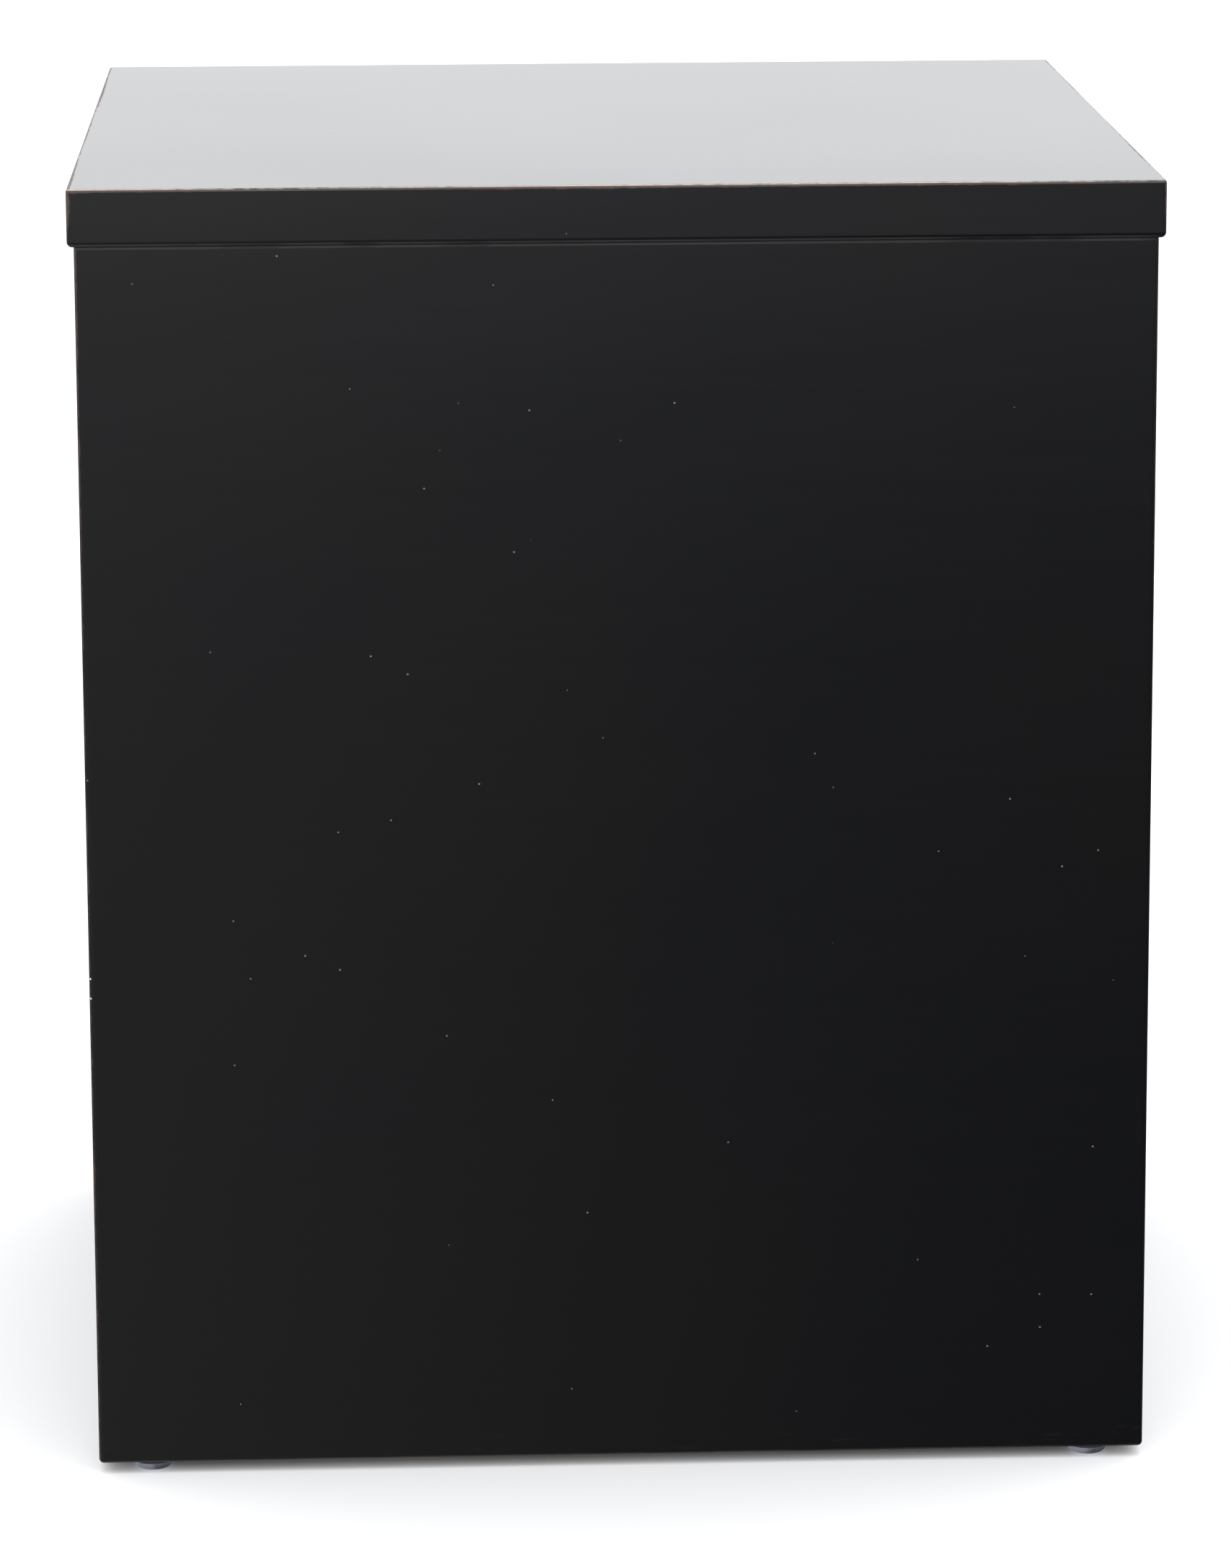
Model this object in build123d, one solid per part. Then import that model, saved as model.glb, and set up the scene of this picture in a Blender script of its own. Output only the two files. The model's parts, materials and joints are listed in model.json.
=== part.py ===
from build123d import *
import os
from math import sqrt

# A tall closed box riser on glides, in millimetres. The origin is on the floor, under the middle.
# +Z is up and -Y is the plain front. The plan is square, so the mitres lie on its diagonals, and most
# pieces are made on the front side or at the front left corner and turned about +Z. The divider, the
# hand slots, the build-up strips, the post screws and the glides differ from side to side. The box is
# the same mirrored left to right and front to back.
# Mitred walls hold corner posts, cleats and a middle divider. The slab is a top panel thickened by
# strips and edged with hardwood, screwed on from inside. The bottom panel closes the box last.

# Driving dimensions
SLAB_WIDTH = 508.0
HEIGHT = 620.0  # floor to the top face
SLAB_T = 27.0
OVERHANG = 3.0  # of the slab past each face of the body
WALL_T = 18.0
GLIDE_H = 5.0

# Slab
LIPPING_T = 8.0
TOP_PANEL_T = 18.0
BUILDUP_W = 60.0
SLAB_CORNER_R = 2.2
SLAB_TOP_EASE = 1.3
SLAB_LOW_EASE = 2.6

# Carcass
BODY_CORNER_R = 2.4
BODY_LOW_EASE = 2.3
SPLINE_T = 3.0
SPLINE_W = 10.0
SPLINE_FROM_INSIDE = 9.0  # along the mitre, from the inner corner to the spline's middle
POST_W = 30.0
POST_CHAMFER = 2.0
CLEAT_T = 22.0
TOP_CLEAT_H = 40.0
BOTTOM_CLEAT_H = 22.0
DIVIDER_T = 18.0
DADO_DEPTH = 5.0
BOTTOM_T = 12.0
BOTTOM_RECESS = 9.0  # bottom panel above the walls' lower edges
BOTTOM_GAP = 0.8  # round the bottom panel

# Hand slots
SLOT_LENGTH = 112.0
SLOT_HEIGHT = 34.0
SLOT_BELOW_TOP = 150.0  # slab's top face to the slot's middle
SLOT_EASE = 3.0

# Glides
GLIDE_FROM_SIDE = 25.5  # outer face of the left or right end to a glide's middle
GLIDE_FROM_FACE = 13.0  # outer face of the front or back wall to it
CUSHION_R = 10.0
CUSHION_T = 1.6
CUSHION_EASE = 0.4
CAP_R = 9.4
CAP_FLAT_R = 7.4
CAP_T = 0.8
NAIL_R = 1.3
NAIL_LENGTH = 28.0
NAIL_TIP = 3.0
NAIL_HEAD_R = 3.6
NAIL_HEAD_T = 1.0

# Screws as (length, shank diameter, head diameter)
TOP_SCREW = (55.0, 4.5, 8.6)
CLEAT_SCREW = (32.0, 3.5, 6.8)
POST_SCREW = (40.0, 4.0, 7.6)
BOTTOM_SCREW = (30.0, 4.0, 7.6)
POINT_SHARE = 1.6  # a screw point's length over the shank's diameter
POINT_R = 0.3
HEAD_SINK = 0.4  # a screw head below the wood's face
RECESS_SHARE = 0.55  # a cross recess's length over the head's diameter
RECESS_T = 0.9
CLEARANCE = 0.05  # of a hole's radius over what is in it
CUT_PAST = 1.0  # how far a cut runs past the faces that it opens

# Screw places along a side, from its middle
TOP_SCREW_AT = (-110.0, 110.0)
CLEAT_SCREW_AT = (-165.0, -55.0, 55.0, 165.0)
BOTTOM_SCREW_AT = (-140.0, 140.0)
DIVIDER_SCREW_AT = (-120.0, 0.0, 120.0)
POST_SCREW_ROWS = 4

# Worked out, as distances from the middle or heights above the floor
SLAB = SLAB_WIDTH / 2
CORE = SLAB - LIPPING_T
BODY = SLAB - OVERHANG
INNER = BODY - WALL_T
POST = INNER - POST_W
CLEAT = INNER - CLEAT_T
HOLLOW = CORE - BUILDUP_W
BODY_LOW = GLIDE_H
BODY_HIGH = HEIGHT - SLAB_T
BODY_H = BODY_HIGH - BODY_LOW
TOP_PANEL_LOW = HEIGHT - TOP_PANEL_T
TOP_CLEAT_LOW = BODY_HIGH - TOP_CLEAT_H
BOTTOM_LOW = BODY_LOW + BOTTOM_RECESS
BOTTOM_HIGH = BOTTOM_LOW + BOTTOM_T
BOTTOM_CLEAT_HIGH = BOTTOM_HIGH + BOTTOM_CLEAT_H
SLOT_Z = HEIGHT - SLOT_BELOW_TOP
CAP_HIGH = GLIDE_H - CUSHION_T
FAR = 2 * SLAB_WIDTH

# Degrees about +Z from the front side, and from the front left corner
SIDES = {"front": 0, "right": 90, "back": 180, "left": 270}
CORNERS = {"front_left": 0, "front_right": 90, "back_right": 180, "back_left": 270}
WALL_NAMES = {"front": "front_panel", "right": "right_end", "back": "back_panel", "left": "left_end"}


def turn(degrees):
    return Rot(0, 0, degrees)


def ways(corner):
    """Which way along X and along Y a corner lies."""
    x_way = -1 if corner.endswith("left") else 1
    y_way = -1 if corner.startswith("front") else 1
    return x_way, y_way


def block(x_low, x_high, y_low, y_high, z_low, z_high):
    """A box between two opposite corners."""
    middle = Pos((x_low + x_high) / 2, (y_low + y_high) / 2, (z_low + z_high) / 2)
    return middle * Box(x_high - x_low, y_high - y_low, z_high - z_low)


def plate(half, z_low, z_high):
    """A square plate centred on the Z axis."""
    return block(-half, half, -half, half, z_low, z_high)


def front_strip(half_length, outer, inner, z_low, z_high):
    """A straight piece along the front side."""
    return block(-half_length, half_length, -outer, -inner, z_low, z_high)


def one_solid(shape):
    """The single solid of a boolean's result."""
    (solid,) = shape.solids()
    return solid


def mitred(ring, side):
    """One side of a square ring, cut from the rest along the plan's diagonals."""
    outline = Polyline((0, 0), (-FAR, -FAR), (FAR, -FAR), close=True)
    wedge = Pos(0, 0, -FAR) * extrude(make_face(outline), 2 * FAR)
    return one_solid(ring & turn(SIDES[side]) * wedge)


# Slab


def lipping_ring():
    """The four lippings before the mitres part them."""
    ring = plate(SLAB, BODY_HIGH, HEIGHT)
    ring = fillet(ring.edges().filter_by(Axis.Z), SLAB_CORNER_R)
    ring = fillet(ring.faces().sort_by(Axis.Z)[-1].edges(), SLAB_TOP_EASE)
    ring = fillet(ring.faces().sort_by(Axis.Z)[0].edges(), SLAB_LOW_EASE)
    return ring - plate(CORE, BODY_HIGH - CUT_PAST, HEIGHT + CUT_PAST)


def buildup(side):
    """A strip under the top panel's rim: front and back run through, left and right fit between."""
    half_length = CORE if side in ("front", "back") else HOLLOW
    return turn(SIDES[side]) * front_strip(half_length, CORE, HOLLOW, BODY_HIGH, TOP_PANEL_LOW)


# Carcass


def wall_ring():
    """The four walls before the mitres part them."""
    ring = plate(BODY, BODY_LOW, BODY_HIGH)
    ring = fillet(ring.edges().filter_by(Axis.Z), BODY_CORNER_R)
    ring = fillet(ring.faces().sort_by(Axis.Z)[0].edges(), BODY_LOW_EASE)
    return ring - plate(INNER, BODY_LOW - CUT_PAST, BODY_HIGH + CUT_PAST)


def spline(corner):
    """The loose tongue across a mitre, full height."""
    out = INNER + SPLINE_FROM_INSIDE / sqrt(2)
    middle = Pos(-out, -out, (BODY_LOW + BODY_HIGH) / 2)
    return turn(CORNERS[corner]) * middle * Rot(0, 0, -45) * Box(SPLINE_W, SPLINE_T, BODY_H)


def hand_slot(board):
    """Cuts the slot through a front board and rounds its rims, the only holes in the two faces."""
    start = Plane(origin=(0, -BODY - CUT_PAST, SLOT_Z), x_dir=(1, 0, 0), z_dir=(0, 1, 0))
    cut = board - extrude(start * SlotOverall(SLOT_LENGTH, SLOT_HEIGHT), WALL_T + 2 * CUT_PAST)
    rims = [wire for face in cut.faces().filter_by(Axis.Y) for wire in face.inner_wires()]
    return cut.fillet(SLOT_EASE, [edge for wire in rims for edge in wire.edges()])


def wall(side, ring):
    """One wall with its spline grooves, and a dado for the divider or a hand slot."""
    piece = mitred(ring, "front")
    for corner in ("front_left", "front_right"):
        piece = one_solid(piece - spline(corner))
    if side in ("left", "right"):
        piece = hand_slot(piece)
    else:
        piece = piece - divider()
    return turn(SIDES[side]) * one_solid(piece)


def post(corner):
    """A full-height corner post, its outer arris taken off to clear the glue."""
    bar = block(-INNER, -POST, -INNER, -POST, BODY_LOW, BODY_HIGH)
    arris = bar.edges().filter_by(Axis.Z).sort_by(lambda edge: edge.center().X + edge.center().Y)[0]
    return turn(CORNERS[corner]) * chamfer(arris, POST_CHAMFER)


def cleat(side, z_low, z_high):
    return turn(SIDES[side]) * front_strip(POST, INNER, CLEAT, z_low, z_high)


def divider():
    """The middle board: in the walls' dados, notched for the cleats, and up to the top panel."""
    half_profile = [
        (CLEAT, BOTTOM_HIGH),
        (CLEAT, BOTTOM_CLEAT_HIGH),
        (INNER + DADO_DEPTH, BOTTOM_CLEAT_HIGH),
        (INNER + DADO_DEPTH, TOP_CLEAT_LOW),
        (CLEAT, TOP_CLEAT_LOW),
        (CLEAT, BODY_HIGH),
        (HOLLOW, BODY_HIGH),
        (HOLLOW, TOP_PANEL_LOW),
    ]
    outline = half_profile + [(-y, z) for y, z in reversed(half_profile)]
    start = Plane(origin=(-DIVIDER_T / 2, 0, 0), x_dir=(0, 1, 0), z_dir=(1, 0, 0))
    return extrude(start * make_face(Polyline(*outline, close=True)), DIVIDER_T)


def bottom_panel():
    """The closing panel, a little smaller than the space between the walls and round the posts."""
    panel = plate(INNER - BOTTOM_GAP, BOTTOM_LOW, BOTTOM_HIGH)
    edge = POST - BOTTOM_GAP
    notch = block(-SLAB, -edge, -SLAB, -edge, BOTTOM_LOW - CUT_PAST, BOTTOM_HIGH + CUT_PAST)
    for degrees in CORNERS.values():
        panel -= turn(degrees) * notch
    return panel


# Screws


def screw(size):
    """A countersunk screw along +Z, its head's face at the origin."""
    length, shank_d, head_d = size
    return screw_body(length, shank_d / 2, head_d / 2, POINT_R) - recess(head_d, shank_d)


def screw_body(length, shank_r, head_r, point_r):
    """Head, shank and point."""
    head_h = head_r - shank_r
    point_h = POINT_SHARE * 2 * shank_r
    shank_h = length - head_h - point_h
    head = Pos(0, 0, head_h / 2) * Cone(head_r, shank_r, head_h)
    shank = Pos(0, 0, head_h + shank_h / 2) * Cylinder(shank_r, shank_h)
    point = Pos(0, 0, length - point_h / 2) * Cone(shank_r, point_r, point_h)
    return head + shank + point


def recess(head_d, shank_d):
    """The cross in a screw's head, as deep as half the head."""
    bar = Box(RECESS_SHARE * head_d, RECESS_T, (head_d - shank_d) / 2)
    return bar + turn(90) * bar


def screw_hole(size):
    """The space that a screw takes, with the sink above its head."""
    length, shank_d, head_d = size
    shank_r, head_r = shank_d / 2 + CLEARANCE, head_d / 2 + CLEARANCE
    body = screw_body(length + CLEARANCE, shank_r, head_r, POINT_R + CLEARANCE)
    return body + Pos(0, 0, -HEAD_SINK) * Cylinder(head_r, 2 * HEAD_SINK)


def going(x, y, z, way):
    """Where a screw starts: a point on the wood's face, moved by the sink along its direction."""
    return Plane(origin=Vector(x, y, z) + Vector(*way) * HEAD_SINK, z_dir=way).location


def on_all_sides(places):
    return [turn(degrees) * place for degrees in SIDES.values() for place in places]


def top_screw_places():
    """Up through the top cleats into the slab."""
    depth = (INNER + CLEAT) / 2
    return on_all_sides([going(x, -depth, TOP_CLEAT_LOW, (0, 0, 1)) for x in TOP_SCREW_AT])


def cleat_screw_places():
    """Out through the cleats into the walls."""
    heights = ((TOP_CLEAT_LOW + BODY_HIGH) / 2, (BOTTOM_HIGH + BOTTOM_CLEAT_HIGH) / 2)
    return on_all_sides([going(x, -CLEAT, z, (0, -1, 0)) for x in CLEAT_SCREW_AT for z in heights])


def post_screw_places():
    """Out through each post into the front or back wall, and into the end a post's width higher."""
    middle = (INNER + POST) / 2
    places = []
    for corner in CORNERS:
        x_way, y_way = ways(corner)
        for row in range(POST_SCREW_ROWS):
            z = BODY_LOW + BODY_H * (row + 0.5) / POST_SCREW_ROWS
            places.append(going(x_way * middle, y_way * POST, z, (0, y_way, 0)))
            places.append(going(x_way * POST, y_way * middle, z + POST_W, (x_way, 0, 0)))
    return places


def bottom_screw_places():
    """Up through the bottom panel into the bottom cleats and the divider."""
    depth = (INNER + CLEAT) / 2
    rim = on_all_sides([going(x, -depth, BOTTOM_LOW, (0, 0, 1)) for x in BOTTOM_SCREW_AT])
    return rim + [going(0, y, BOTTOM_LOW, (0, 0, 1)) for y in DIVIDER_SCREW_AT]


SCREWS = {
    "top_fixing_screws": (TOP_SCREW, top_screw_places()),
    "cleat_screws": (CLEAT_SCREW, cleat_screw_places()),
    "post_screws": (POST_SCREW, post_screw_places()),
    "bottom_panel_screws": (BOTTOM_SCREW, bottom_screw_places()),
}


# Glides


def at_glide(corner):
    """Under the front or back wall, near its end, where the corner post backs the cushion."""
    x_way, y_way = ways(corner)
    return Pos(x_way * (BODY - GLIDE_FROM_SIDE), y_way * (BODY - GLIDE_FROM_FACE), 0)


def dish(rim_r, flat_r, low, high):
    """A solid with a flat foot and a round shoulder that ends upright at its rim."""
    shoulder = EllipticalCenterArc(
        (flat_r, high), rim_r - flat_r, high - low, start_angle=-90, arc_size=90
    )
    sides = Polyline((rim_r, high), (0, high), (0, low), (flat_r, low))
    return revolve(Plane.XZ * make_face(shoulder + sides), Axis.Z)


def glide_hollow(gap=0.0):
    """The inside of the cap, or what fills it with a gap."""
    return dish(CAP_R - CAP_T - gap, CAP_FLAT_R - gap, CAP_T + gap, CAP_HIGH)


def glide_cap():
    """The pressed steel foot."""
    return dish(CAP_R, CAP_FLAT_R, 0, CAP_HIGH) - glide_hollow()


def glide_nail(gap=0.0):
    """The nail, its head on the cap's floor, or with a gap the hole for it."""
    low = CAP_T + NAIL_HEAD_T
    shank_h = NAIL_LENGTH - NAIL_HEAD_T - NAIL_TIP
    head = Pos(0, 0, CAP_T + NAIL_HEAD_T / 2) * Cylinder(NAIL_HEAD_R + gap, NAIL_HEAD_T + 2 * gap)
    shank = Pos(0, 0, low + shank_h / 2) * Cylinder(NAIL_R + gap, shank_h)
    tip = Pos(0, 0, low + shank_h + NAIL_TIP / 2) * Cone(NAIL_R + gap, POINT_R + gap, NAIL_TIP)
    return head + shank + tip


def glide_cushion():
    """The rubber disc between the cap and the wood, with the plug that fills the cap."""
    disc = Pos(0, 0, GLIDE_H - CUSHION_T / 2) * Cylinder(CUSHION_R, CUSHION_T)
    disc = fillet(disc.edges().filter_by(GeomType.CIRCLE), CUSHION_EASE)
    return disc + glide_hollow(CLEARANCE) - glide_nail(CLEARANCE)


# Assembly


def wooden_pieces():
    """Every wooden node that a screw or nail may enter, before its holes."""
    walls = wall_ring()
    wood = {"top_panel": plate(CORE, TOP_PANEL_LOW, HEIGHT)}
    for side in SIDES:
        wood[WALL_NAMES[side]] = wall(side, walls)
        wood[f"top_buildup_{side}"] = buildup(side)
        wood[f"top_cleat_{side}"] = cleat(side, TOP_CLEAT_LOW, BODY_HIGH)
        wood[f"bottom_cleat_{side}"] = cleat(side, BOTTOM_HIGH, BOTTOM_CLEAT_HIGH)
    for corner in CORNERS:
        wood[f"corner_post_{corner}"] = post(corner)
    wood["middle_divider"] = divider()
    wood["bottom_panel"] = bottom_panel()
    return wood


def drilled(piece, holes):
    """A wooden piece with the holes that reach it."""
    space = piece.bounding_box()
    reached = [hole for hole in holes if space.overlaps(hole.bounding_box())]
    return one_solid(piece - reached) if reached else one_solid(piece)


def build():
    """Every node's shape by name."""
    holes = [at_glide(corner) * glide_nail(CLEARANCE) for corner in CORNERS]
    for size, places in SCREWS.values():
        hole = screw_hole(size)
        holes += [place * hole for place in places]
    nodes = {name: drilled(piece, holes) for name, piece in wooden_pieces().items()}
    lippings = lipping_ring()
    for side in SIDES:
        nodes[f"top_lipping_{side}"] = mitred(lippings, side)
    for corner in CORNERS:
        nodes[f"corner_spline_{corner}"] = spline(corner)
        nodes[f"glide_cap_{corner}"] = at_glide(corner) * glide_cap()
        nodes[f"glide_cushion_{corner}"] = at_glide(corner) * one_solid(glide_cushion())
    nodes["glide_nails"] = Compound(children=[at_glide(corner) * glide_nail() for corner in CORNERS])
    for name, (size, places) in SCREWS.items():
        nodes[name] = Compound(children=[place * screw(size) for place in places])
    return nodes


os.makedirs("parts", exist_ok=True)
for node, shape in build().items():
    export_step(shape, f"parts/{node}.step")
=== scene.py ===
import json
from math import cos, radians, sin

import bpy
from mathutils import Matrix, Vector


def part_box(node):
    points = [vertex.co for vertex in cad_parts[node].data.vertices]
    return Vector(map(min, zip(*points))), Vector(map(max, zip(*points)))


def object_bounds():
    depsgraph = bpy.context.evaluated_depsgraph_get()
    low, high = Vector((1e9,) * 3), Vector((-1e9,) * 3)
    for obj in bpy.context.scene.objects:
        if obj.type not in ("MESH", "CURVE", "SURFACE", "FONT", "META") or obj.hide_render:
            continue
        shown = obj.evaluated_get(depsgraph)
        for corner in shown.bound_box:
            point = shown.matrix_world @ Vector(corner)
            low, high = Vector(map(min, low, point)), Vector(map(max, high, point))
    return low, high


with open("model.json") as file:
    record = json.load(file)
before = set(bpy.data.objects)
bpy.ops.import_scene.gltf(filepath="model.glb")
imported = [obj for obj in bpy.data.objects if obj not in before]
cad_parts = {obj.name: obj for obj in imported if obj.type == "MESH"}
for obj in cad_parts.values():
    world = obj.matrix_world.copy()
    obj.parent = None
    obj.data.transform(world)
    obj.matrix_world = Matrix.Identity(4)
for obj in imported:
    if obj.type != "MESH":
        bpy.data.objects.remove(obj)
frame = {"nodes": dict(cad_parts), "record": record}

# The looks of a tall closed box riser in satin black lacquer, rubbed through to reddish brown on its
# edges. The CAD nodes keep their shapes, and each takes a procedural material by its record slot.
# All lengths are metres and all angles degrees.

# Camera: in front, a little left of the middle and above the top
CAMERA_AT = Vector((-0.114, -3.042, 0.986))
CAMERA_YAW = 2.30  # to the right of +Y
CAMERA_PITCH = 11.40  # below the horizon
CAMERA_ROLL = -0.21
CAMERA_LENS_MM = 140.0
CAMERA_SHIFT_Y = -0.115

# Edge wear: how far it reaches from an edge over the faces beside it, and shares that multiply that
WEAR_REACH = 0.0022
BROWN_SHARE = 1.5  # width of the brown band over the worn one
SIDE_WEAR = 1.2  # of the slab's left and right edges over its front and back ones
SIDE_WEAR_REACH = 0.006  # how far in from the left or right SIDE_WEAR holds
SLAB_WEAR = (0.30, 1.0)  # shares of the slab's lower and top edges
SLAB_WEAR_LOW = 0.002  # above the seam, where the wear starts to grow
SLAB_WEAR_HIGH = 0.004  # below the top face, where it is full
BODY_WEAR = (0.72, 0.42)  # shares of the body's left and right edges

# Marks
CREST = 0.0005  # below the slab's top face, where its front and back edges are palest: rubbed pale wood brightened as a painted highlight
CREST_REACH = 0.002  # of the same, in from the front or back
LINE_OFF = 0.0009  # from the seam or the lower edge to the fine pale line of painted highlight beside it
LINE_HALF_WIDTH = 0.0007
SMUDGE_REACH = 0.022  # above the lower edge
CHIP_HEIGHTS = (0.245, 0.2355)  # of the chips on the front left corner
CHIP_R = 0.0005
CORNER_DEPTH = 0.0007  # of the round corner's middle, in from the walls' outer faces

# Where the lacquer ends, and the hand slots
LACQUER_DEPTH = 0.0165  # inside an outer face, from where the wood is bare
SLOT_LENGTH = 0.112
SLOT_HEIGHT = 0.034
SLOT_WEAR_AT = 0.0014  # out from the slot's own outline, on its rounded rim

# Colours, linear
LACQUER = (0.0013, 0.0015, 0.0024, 1)
LACQUER_WARM = (0.0019, 0.0019, 0.0021, 1)
UNDERCOAT = (0.034, 0.014, 0.009, 1)
BARE_EDGE = (0.058, 0.034, 0.025, 1)
# Pale worn wood, brightened as a painted highlight, for the crest of the slab's top front and back edges
PALE_WOOD_AND_HIGHLIGHT = (0.47, 0.41, 0.37, 1)
CHIP = (0.62, 0.58, 0.52, 1)
DUST = (0.11, 0.11, 0.115, 1)
# Pale grey for the smudges low on the walls, and for the lines of painted highlight beside the seam and
# the foot
SMUDGE_AND_HIGHLIGHT_GREY = (0.021, 0.0205, 0.021, 1)
PLY_PALE = (0.50, 0.36, 0.21, 1)
PLY_DARK = (0.36, 0.23, 0.12, 1)
SOFTWOOD = ((0.60, 0.44, 0.26, 1), (0.44, 0.28, 0.15, 1))
PLYWOOD = ((0.54, 0.46, 0.35, 1), (0.42, 0.34, 0.24, 1))
ZINC = ((0.55, 0.55, 0.56, 1), (0.35, 0.34, 0.33, 1))
NICKEL = ((0.50, 0.54, 0.63, 1), (0.42, 0.46, 0.54, 1))
RUBBER = ((0.012, 0.012, 0.013, 1), (0.03, 0.03, 0.032, 1))
FLOOR = ((0.90, 0.90, 0.90, 1), (0.93, 0.93, 0.93, 1))

# Roughnesses, and the heights of reliefs
LACQUER_ROUGHNESS = 0.16
STREAK_ROUGHNESS = 0.03  # more than the lacquer's, in its streaks
WORN_ROUGHNESS = 0.30  # more than the lacquer's
WOOD_ROUGHNESS = (0.55, 0.72)
RUBBER_ROUGHNESS = (0.62, 0.82)
METAL_SPREAD = 0.16  # from a metal's smoothest place to its roughest
FLOOR_ROUGHNESS = 0.9
LACQUER_RELIEF = 0.0001
WOOD_RELIEF = 0.00012
METAL_RELIEF = 0.00002
RUBBER_RELIEF = 0.00004

# Shares of the lacquer's relief
PEEL = 0.04
STREAKS = 0.03
PITTED = 0.5
WORN = 0.4
FIBRES = 0.6

# Spots as (cells in a metre, largest spot within a cell, share of the cells that have one)
DUST_SPECKS = (120, 0.06, 0.12)
PITS = (230, 0.10, 0.06)

# Stage: a white backdrop above the horizon and a dim room below it all round, lighter towards -X.
# Their brightnesses were found by trial, to give the lacquer its sheen
FLOOR_HALF = 30.0
BACKDROP = 1.48
ROOM_LEFT = 0.25  # the room's brightness over the backdrop's
ROOM_RIGHT = 0.06
ROOM_LEFT_X = -0.10  # where it starts and ends changing, as parts of a unit direction
ROOM_RIGHT_X = 0.12
ROOM_Z = -0.17
BACKDROP_Z = 0.03
WORLD_TINT = (0.98, 0.985, 1.0, 1)
FRONT_FILL = ((-0.3, -3.8, 1.5), 2.0, 25)  # place, size and power
OVERHEAD = ((0.3, 0.4, 4.0), 3.0, 40)

cad_low, cad_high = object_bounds()
nodes = frame["nodes"]
slot_of = {part["node"]: part["material_slot"] for part in frame["record"]["subparts"]}
seam_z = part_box("top_lipping_front")[0].z
foot_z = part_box("front_panel")[0].z
body_half = -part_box("left_end")[0].x


class Tree:
    """The node tree of a material or a world, with short calls for the nodes that they share."""

    def __init__(self, owner, space):
        owner.use_nodes = True
        self.owner = owner
        self.nodes = owner.node_tree.nodes
        self.links = owner.node_tree.links
        self.shader = self.nodes.get("Principled BSDF") or self.nodes["Background"]
        self.place = self.nodes.new("ShaderNodeTexCoord").outputs[space]

    def join(self, value, socket):
        """Puts a number, a colour or another node's output into a socket."""
        if isinstance(value, bpy.types.NodeSocket):
            self.links.new(value, socket)
        else:
            socket.default_value = value

    def math(self, operation, first, second=0.0):
        node = self.nodes.new("ShaderNodeMath")
        node.operation = operation
        self.join(first, node.inputs[0])
        self.join(second, node.inputs[1])
        return node.outputs[0]

    def ramp(self, value, low, high, to_low=0.0, to_high=1.0):
        """A smooth step of value between low and high."""
        node = self.nodes.new("ShaderNodeMapRange")
        node.interpolation_type = "SMOOTHSTEP"
        for socket, number in zip(list(node.inputs)[:5], (value, low, high, to_low, to_high)):
            self.join(number, socket)
        return node.outputs[0]

    def blend(self, share, first, second):
        """A mix of two colours."""
        node = self.nodes.new("ShaderNodeMix")
        node.data_type = "RGBA"
        self.join(share, node.inputs[0])
        self.join(first, node.inputs[6])
        self.join(second, node.inputs[7])
        return node.outputs[2]

    def stretched(self, scale, offset=(0, 0, 0)):
        """Object positions, scaled and moved."""
        node = self.nodes.new("ShaderNodeMapping")
        self.join(self.place, node.inputs["Vector"])
        node.inputs["Scale"].default_value = scale
        node.inputs["Location"].default_value = offset
        return node.outputs[0]

    def noise(self, scale, detail=2.0, offset=(0, 0, 0), stretch=(1, 1, 1), roughness=0.5):
        node = self.nodes.new("ShaderNodeTexNoise")
        self.join(self.stretched(stretch, offset), node.inputs["Vector"])
        node.inputs["Scale"].default_value = scale
        node.inputs["Detail"].default_value = detail
        node.inputs["Roughness"].default_value = roughness
        return node.outputs["Fac"]

    def specks(self, scale, size, kept, offset=(0, 0, 0)):
        """Small round spots: one in some of the cells of a grid, of a size within its cell."""
        node = self.nodes.new("ShaderNodeTexVoronoi")
        self.join(self.stretched((1, 1, 1), offset), node.inputs["Vector"])
        node.inputs["Scale"].default_value = scale
        split = self.nodes.new("ShaderNodeSeparateColor")
        self.join(node.outputs["Color"], split.inputs[0])
        chosen = self.math("LESS_THAN", split.outputs[0], kept)
        own_size = self.math("MULTIPLY", split.outputs[1], size)
        return self.math("MULTIPLY", chosen, self.math("LESS_THAN", node.outputs["Distance"], own_size))

    def axes(self):
        node = self.nodes.new("ShaderNodeSeparateXYZ")
        self.join(self.place, node.inputs[0])
        return node.outputs

    def bump(self, height, distance):
        node = self.nodes.new("ShaderNodeBump")
        self.join(height, node.inputs["Height"])
        node.inputs["Distance"].default_value = distance
        self.join(node.outputs[0], self.shader.inputs["Normal"])


def finish(name):
    """A new material's tree, which works in object positions."""
    return Tree(bpy.data.materials.new(name), "Object")


def wood_colour(tree, pale, dark, along):
    """(colour, fibres) of straight grain along one axis, with broader bands under it."""
    stretch = [1.0, 1.0, 1.0]
    stretch["XYZ".index(along)] = 0.05
    fine = tree.noise(420, 4, stretch=stretch, roughness=0.65)
    broad = tree.noise(38, 3, offset=(3, 1, 2), stretch=stretch)
    grain = tree.math("ADD", tree.math("MULTIPLY", fine, 0.6), tree.math("MULTIPLY", broad, 0.4))
    return tree.blend(tree.ramp(grain, 0.36, 0.64), pale, dark), fine


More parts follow.
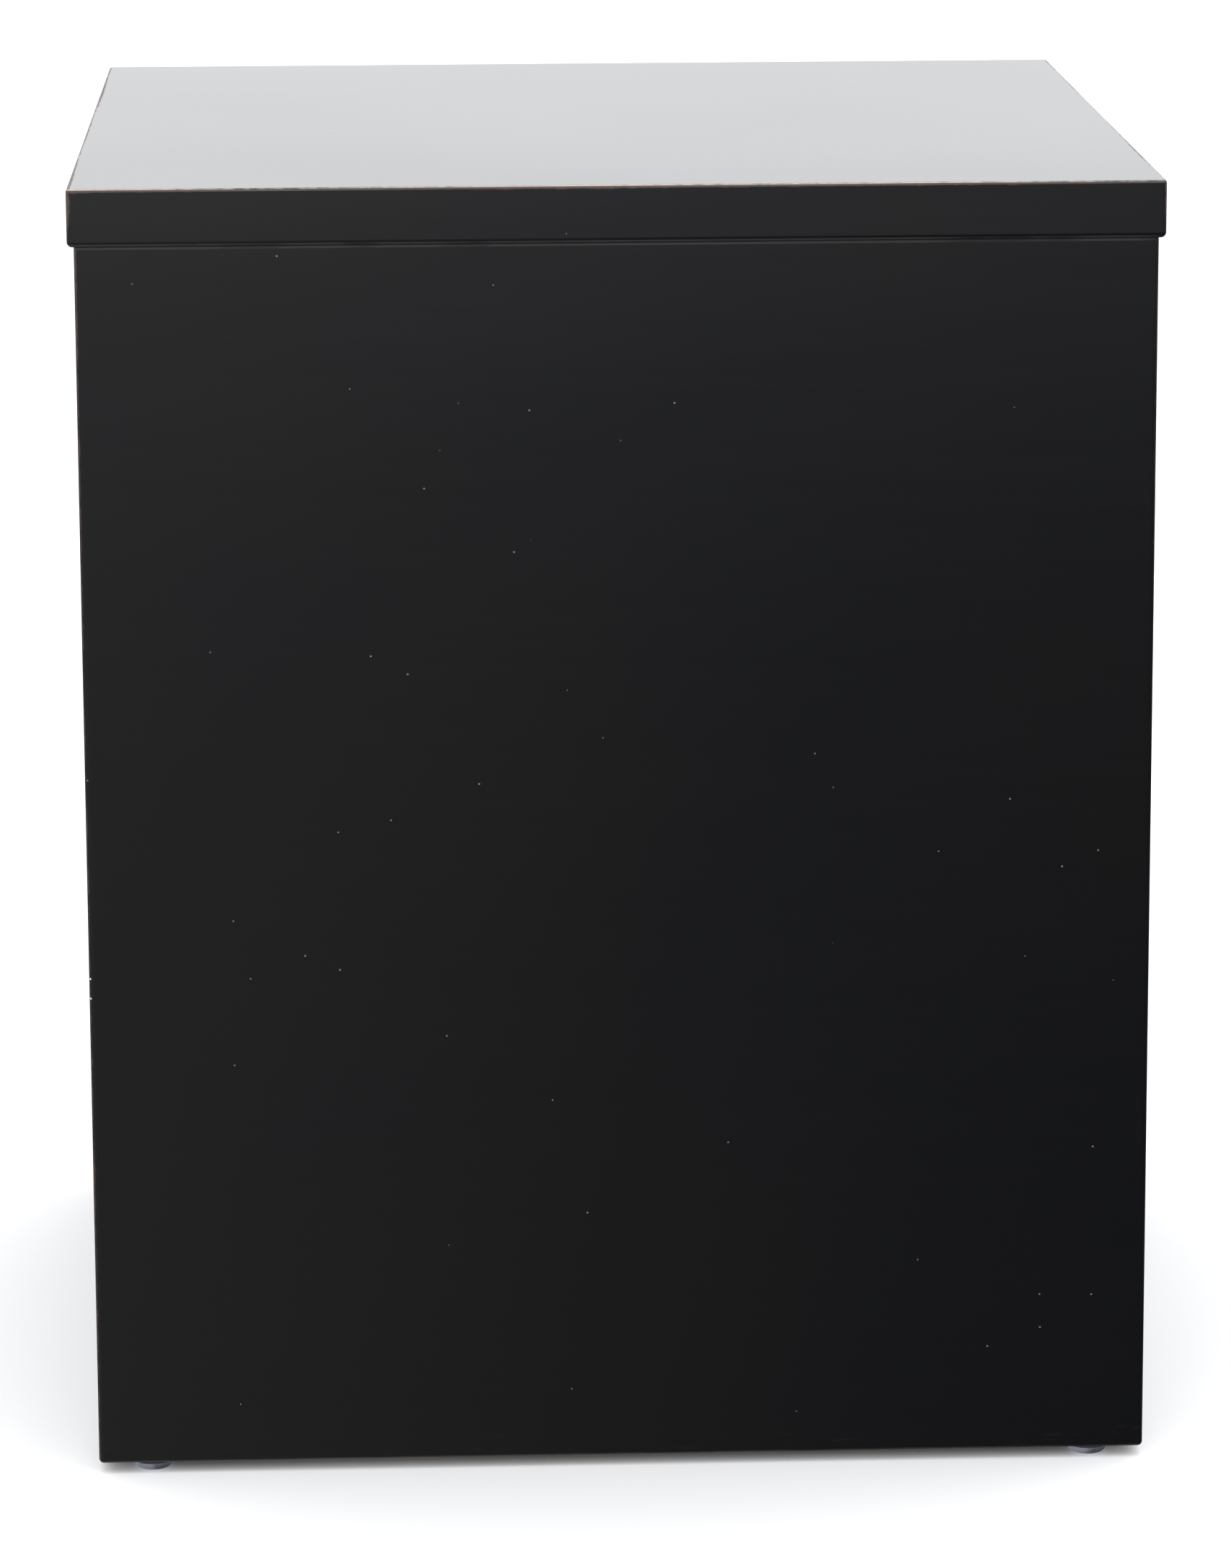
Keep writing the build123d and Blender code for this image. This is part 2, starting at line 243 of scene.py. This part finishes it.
def edge_distance(tree, half, low, high):
    """(edge, depth): how far a point on a square block's surface is from the nearest edge, and how deep
    it is inside the nearest side. The first is the middle one of its distances to the block's three
    nearest faces."""
    x, y, z = tree.axes()
    to_x = tree.math("SUBTRACT", half, tree.math("ABSOLUTE", x))
    to_y = tree.math("SUBTRACT", half, tree.math("ABSOLUTE", y))
    to_z = tree.math("MINIMUM", tree.math("SUBTRACT", z, low), tree.math("SUBTRACT", high, z))
    nearer = tree.math("MINIMUM", to_x, to_y)
    farther = tree.math("MAXIMUM", to_x, to_y)
    return tree.math("MAXIMUM", nearer, tree.math("MINIMUM", farther, to_z)), nearer


def slot_rim(tree, middle_z):
    """How far a point of the left or right end is from its hand slot's rounded rim. On the front
    and back walls it is always large, because their points are far from the slots along Y."""
    y, z = tree.axes()[1:]
    straight = (SLOT_LENGTH - SLOT_HEIGHT) / 2
    past_end = tree.math("MAXIMUM", tree.math("SUBTRACT", tree.math("ABSOLUTE", y), straight), 0)
    rise = tree.math("SUBTRACT", z, middle_z)
    squares = tree.math("ADD", tree.math("POWER", past_end, 2), tree.math("MULTIPLY", rise, rise))
    outline = tree.math("SUBTRACT", tree.math("SQRT", squares), SLOT_HEIGHT / 2 + SLOT_WEAR_AT)
    return tree.math("ABSOLUTE", outline)


def worn_masks(tree, edge, weight):
    """(bare, brown): where the lacquer is rubbed through at an edge, more in some places."""
    patches = tree.noise(7, 2, offset=(7, 3, 1))
    breaks = tree.noise(190, 3, offset=(1, 5, 2), roughness=0.6)
    rubbed = tree.math("ADD", tree.math("MULTIPLY", patches, 0.8), tree.math("MULTIPLY", breaks, 0.6))
    rubbed = tree.math("SUBTRACT", rubbed, 0.35)
    reach = tree.math("MULTIPLY", tree.math("MULTIPLY", rubbed, weight), WEAR_REACH)
    brown_reach = tree.math("MULTIPLY", reach, BROWN_SHARE)
    bare = tree.ramp(tree.math("SUBTRACT", edge, reach), -0.0002, 0.0002, 1, 0)
    brown = tree.ramp(tree.math("SUBTRACT", edge, brown_reach), -0.0003, 0.0004, 1, 0)
    return bare, brown


def painted_highlight_line(tree):
    """1 along the fine pale lines above and below the seam and above the walls' lower edge, with breaks:
    a painted highlight standing in for the sheen on those eased edges.
    """
    z = tree.axes()[2]
    from_seam = tree.math("ABSOLUTE", tree.math("SUBTRACT", z, seam_z))
    from_foot = tree.math("ABSOLUTE", tree.math("SUBTRACT", z, foot_z))
    from_line = tree.math("SUBTRACT", tree.math("MINIMUM", from_seam, from_foot), LINE_OFF)
    line = tree.ramp(tree.math("ABSOLUTE", from_line), LINE_HALF_WIDTH / 3, LINE_HALF_WIDTH, 1, 0)
    breaks = tree.ramp(tree.noise(30, 3, offset=(8, 1, 4)), 0.30, 0.55, 0.35, 1)
    return tree.math("MULTIPLY", line, breaks)


def smudges(tree):
    """Faint level rubs low on the walls."""
    smears = tree.noise(60, 5, stretch=(1, 1, 5), offset=(2, 6, 3), roughness=0.7)
    rubs = tree.ramp(smears, 0.56, 0.74, 0, 0.35)
    low = tree.ramp(tree.axes()[2], foot_z, foot_z + SMUDGE_REACH, 1, 0)
    return tree.math("MULTIPLY", rubs, low)


def chips(tree, half):
    """Small chips on the front left corner, a little below the middle of its height."""
    corner = CORNER_DEPTH - half
    found = 0.0
    for height in CHIP_HEIGHTS:
        away = tree.nodes.new("ShaderNodeVectorMath")
        away.operation = "DISTANCE"
        tree.join(tree.place, away.inputs[0])
        away.inputs[1].default_value = (corner, corner, height)
        found = tree.math("MAXIMUM", found, tree.math("LESS_THAN", away.outputs["Value"], CHIP_R))
    return found


def slab_weight(tree):
    """How much an edge of the slab is rubbed: most at the top, little underneath, and more along the
    left and right than along the front and back."""
    x, _, z = tree.axes()
    to_side = tree.math("SUBTRACT", cad_high.x, tree.math("ABSOLUTE", x))
    sides = tree.ramp(to_side, SIDE_WEAR_REACH / 2, SIDE_WEAR_REACH, SIDE_WEAR, 1.0)
    upward = tree.ramp(z, seam_z + SLAB_WEAR_LOW, cad_high.z - SLAB_WEAR_HIGH, *SLAB_WEAR)
    return tree.math("MULTIPLY", sides, upward)


def body_weight(tree):
    """How much an edge of the body is rubbed: most on the left."""
    return tree.ramp(tree.axes()[0], -body_half, body_half, *BODY_WEAR)


def lacquered(name, half, low, high, weigh, slot_z=None):
    """Satin black lacquer over a reddish-brown undercoat, on a square block. Deeper than
    LACQUER_DEPTH inside both the block's sides and its top the wood is bare."""
    tree = finish(name)
    _, y, z = tree.axes()
    edge, depth = edge_distance(tree, half, low, high)
    if slot_z is not None:
        edge = tree.math("MINIMUM", edge, slot_rim(tree, slot_z))
    bare, brown = worn_masks(tree, edge, weigh(tree))
    dust = tree.specks(*DUST_SPECKS)
    inside = tree.math("MULTIPLY", tree.math("GREATER_THAN", depth, LACQUER_DEPTH),
                       tree.math("LESS_THAN", z, high - LACQUER_DEPTH))

    # Cloudy lacquer, then smudges, dust and fine pale lines of painted highlight beside the seam and the
    # foot, then where it is rubbed off or was never laid, palest along the slab's top front and back
    # edges, partly as a painted highlight
    clouds = tree.ramp(tree.noise(3.2, 3, offset=(2, 8, 4)), 0.35, 0.65)
    colour = tree.blend(clouds, LACQUER, LACQUER_WARM)
    # Smudges low on the walls, together with the lines of painted highlight beside the seam and the foot
    smudge_and_highlight = tree.math("MAXIMUM", painted_highlight_line(tree), smudges(tree))
    colour = tree.blend(smudge_and_highlight, colour, SMUDGE_AND_HIGHLIGHT_GREY)
    colour = tree.blend(dust, colour, DUST)
    colour = tree.blend(brown, colour, UNDERCOAT)
    # The crest of the slab's top front and back edges: worn pale wood, partly a painted highlight
    to_front = tree.math("SUBTRACT", half, tree.math("ABSOLUTE", y))
    crest = tree.math("MULTIPLY", tree.ramp(z, high - CREST, high - CREST / 3),
                      tree.math("LESS_THAN", to_front, CREST_REACH))
    colour = tree.blend(bare, colour, tree.blend(crest, BARE_EDGE, PALE_WOOD_AND_HIGHLIGHT))
    colour = tree.blend(chips(tree, half), colour, CHIP)
    grain, fibres = wood_colour(tree, PLY_PALE, PLY_DARK, "Z")
    tree.join(tree.blend(inside, colour, grain), tree.shader.inputs["Base Color"])

    # Faint level streaks in the gloss. Dust, worn places and bare wood are matt
    streaks = tree.noise(260, 2, stretch=(0.02, 0.02, 1), offset=(4, 4, 9))
    satin = tree.math("ADD", LACQUER_ROUGHNESS, tree.math("MULTIPLY", streaks, STREAK_ROUGHNESS))
    matt = tree.math("MAXIMUM", tree.math("MAXIMUM", brown, inside), dust)
    rough = tree.math("ADD", satin, tree.math("MULTIPLY", matt, WORN_ROUGHNESS))
    tree.join(rough, tree.shader.inputs["Roughness"])

    peel = tree.noise(300, 2, offset=(5, 5, 5))
    pits = tree.specks(*PITS, (6, 1, 8))
    relief = tree.math("ADD", tree.math("MULTIPLY", peel, PEEL), tree.math("MULTIPLY", streaks, STREAKS))
    relief = tree.math("SUBTRACT", relief, tree.math("MULTIPLY", pits, PITTED))
    relief = tree.math("SUBTRACT", relief, tree.math("MULTIPLY", bare, WORN))
    raised = tree.math("MULTIPLY", tree.math("MULTIPLY", inside, fibres), FIBRES)
    tree.bump(tree.math("ADD", relief, raised), LACQUER_RELIEF)
    return tree.owner


def bare_wood(name, colours, along):
    """Planed softwood or birch plywood, unfinished."""
    tree = finish(name)
    grain, fibres = wood_colour(tree, *colours, along)
    tree.join(grain, tree.shader.inputs["Base Color"])
    tree.join(tree.ramp(fibres, 0.3, 0.7, *WOOD_ROUGHNESS), tree.shader.inputs["Roughness"])
    tree.bump(fibres, WOOD_RELIEF)
    return tree.owner


def metal(name, colours, roughness):
    """Plated steel with fine scratches and duller patches."""
    tree = finish(name)
    patches = tree.ramp(tree.noise(260, 3, offset=(1, 2, 3)), 0.4, 0.7)
    scratches = tree.noise(2600, 2, stretch=(1, 0.2, 1))
    rough = tree.ramp(scratches, 0.3, 0.7, roughness, roughness + METAL_SPREAD)
    tree.join(tree.blend(patches, *colours), tree.shader.inputs["Base Color"])
    tree.shader.inputs["Metallic"].default_value = 1.0
    tree.join(rough, tree.shader.inputs["Roughness"])
    tree.bump(scratches, METAL_RELIEF)
    return tree.owner


def rubber():
    tree = finish("glide_rubber")
    grit = tree.noise(1800, 3)
    tree.join(tree.blend(grit, *RUBBER), tree.shader.inputs["Base Color"])
    tree.join(tree.ramp(grit, 0.3, 0.7, *RUBBER_ROUGHNESS), tree.shader.inputs["Roughness"])
    tree.bump(grit, RUBBER_RELIEF)
    return tree.owner


def cover(obj, material):
    """Gives a CAD node one material."""
    obj.data.materials.clear()
    obj.data.materials.append(material)
    for face in obj.data.polygons:
        face.material_index = 0


def paint():
    """Every node's material, from its record slot. The slab and the body are lacquered apart,
    because each one's edges are worn."""
    opening = frame["record"]["physics"]["openings"][0]["box_m"]
    slot_z = (opening[0][2] + opening[1][2]) / 2
    slab = lacquered("slab_lacquer", cad_high.x, seam_z, cad_high.z, slab_weight)
    body = lacquered("body_lacquer", body_half, foot_z, cad_high.z, body_weight, slot_z)
    plain = {
        "bare_wood": bare_wood("bare_wood", SOFTWOOD, "Z"),
        "plywood": bare_wood("plywood", PLYWOOD, "Y"),
        "fastener_steel": metal("fastener_steel", ZINC, 0.30),
        "glide_steel": metal("glide_steel", NICKEL, 0.30),
        "glide_rubber": rubber(),
    }
    for name, obj in nodes.items():
        if slot_of[name] != "black_lacquer":
            cover(obj, plain[slot_of[name]])
        elif name.startswith("top_"):
            cover(obj, slab)
        else:
            cover(obj, body)


def floor():
    """A wide plain pale floor, hidden from glossy rays so that the box reflects the dim room there."""
    mesh = bpy.data.meshes.new("floor")
    corners = [(-1, -1), (1, -1), (1, 1), (-1, 1)]
    points = [(x * FLOOR_HALF, y * FLOOR_HALF, cad_low.z) for x, y in corners]
    mesh.from_pydata(points, [], [(0, 1, 2, 3)])
    obj = bpy.data.objects.new("floor", mesh)
    bpy.context.scene.collection.objects.link(obj)
    tree = finish("floor")
    tint = tree.noise(0.8, 2)
    tree.join(tree.blend(tint, *FLOOR), tree.shader.inputs["Base Color"])
    tree.shader.inputs["Roughness"].default_value = FLOOR_ROUGHNESS
    mesh.materials.append(tree.owner)
    obj.visible_glossy = False


def softbox(name, at, size, power):
    """A square area light that faces the middle of the box."""
    data = bpy.data.lights.new(name, "AREA")
    data.size = size
    data.energy = power
    obj = bpy.data.objects.new(name, data)
    obj.location = at
    aim = (cad_low + cad_high) / 2 - Vector(at)
    obj.rotation_euler = aim.to_track_quat("-Z", "Y").to_euler()
    obj.visible_camera = False
    bpy.context.scene.collection.objects.link(obj)


def light():
    """A world that is a white backdrop above the horizon and a dim room below it, and two soft lights
    that keep the floor white."""
    world = bpy.data.worlds.new("studio")
    tree = Tree(world, "Generated")
    x, _, z = tree.axes()
    room = tree.ramp(x, ROOM_LEFT_X, ROOM_RIGHT_X, ROOM_LEFT, ROOM_RIGHT)
    share = tree.ramp(z, ROOM_Z, BACKDROP_Z, room, 1.0)
    tree.shader.inputs["Color"].default_value = WORLD_TINT
    tree.join(tree.math("MULTIPLY", share, BACKDROP), tree.shader.inputs["Strength"])
    bpy.context.scene.world = world
    softbox("front_fill", *FRONT_FILL)
    softbox("overhead", *OVERHEAD)


def camera():
    yaw, pitch, roll = (radians(angle) for angle in (CAMERA_YAW, CAMERA_PITCH, CAMERA_ROLL))
    ahead = Vector((sin(yaw) * cos(pitch), cos(yaw) * cos(pitch), -sin(pitch)))
    level = Vector((cos(yaw), -sin(yaw), 0))
    up = level.cross(ahead)
    right = cos(roll) * level + sin(roll) * up
    up = right.cross(ahead)
    data = bpy.data.cameras.new("camera")
    data.lens = CAMERA_LENS_MM
    data.shift_y = CAMERA_SHIFT_Y
    obj = bpy.data.objects.new("camera", data)
    turn = Matrix((right, up, -ahead)).transposed()
    obj.matrix_world = Matrix.Translation(CAMERA_AT) @ turn.to_4x4()
    bpy.context.scene.collection.objects.link(obj)
    bpy.context.scene.camera = obj


camera()
paint()
floor()
light()
bpy.context.scene.view_settings.view_transform = "Standard"
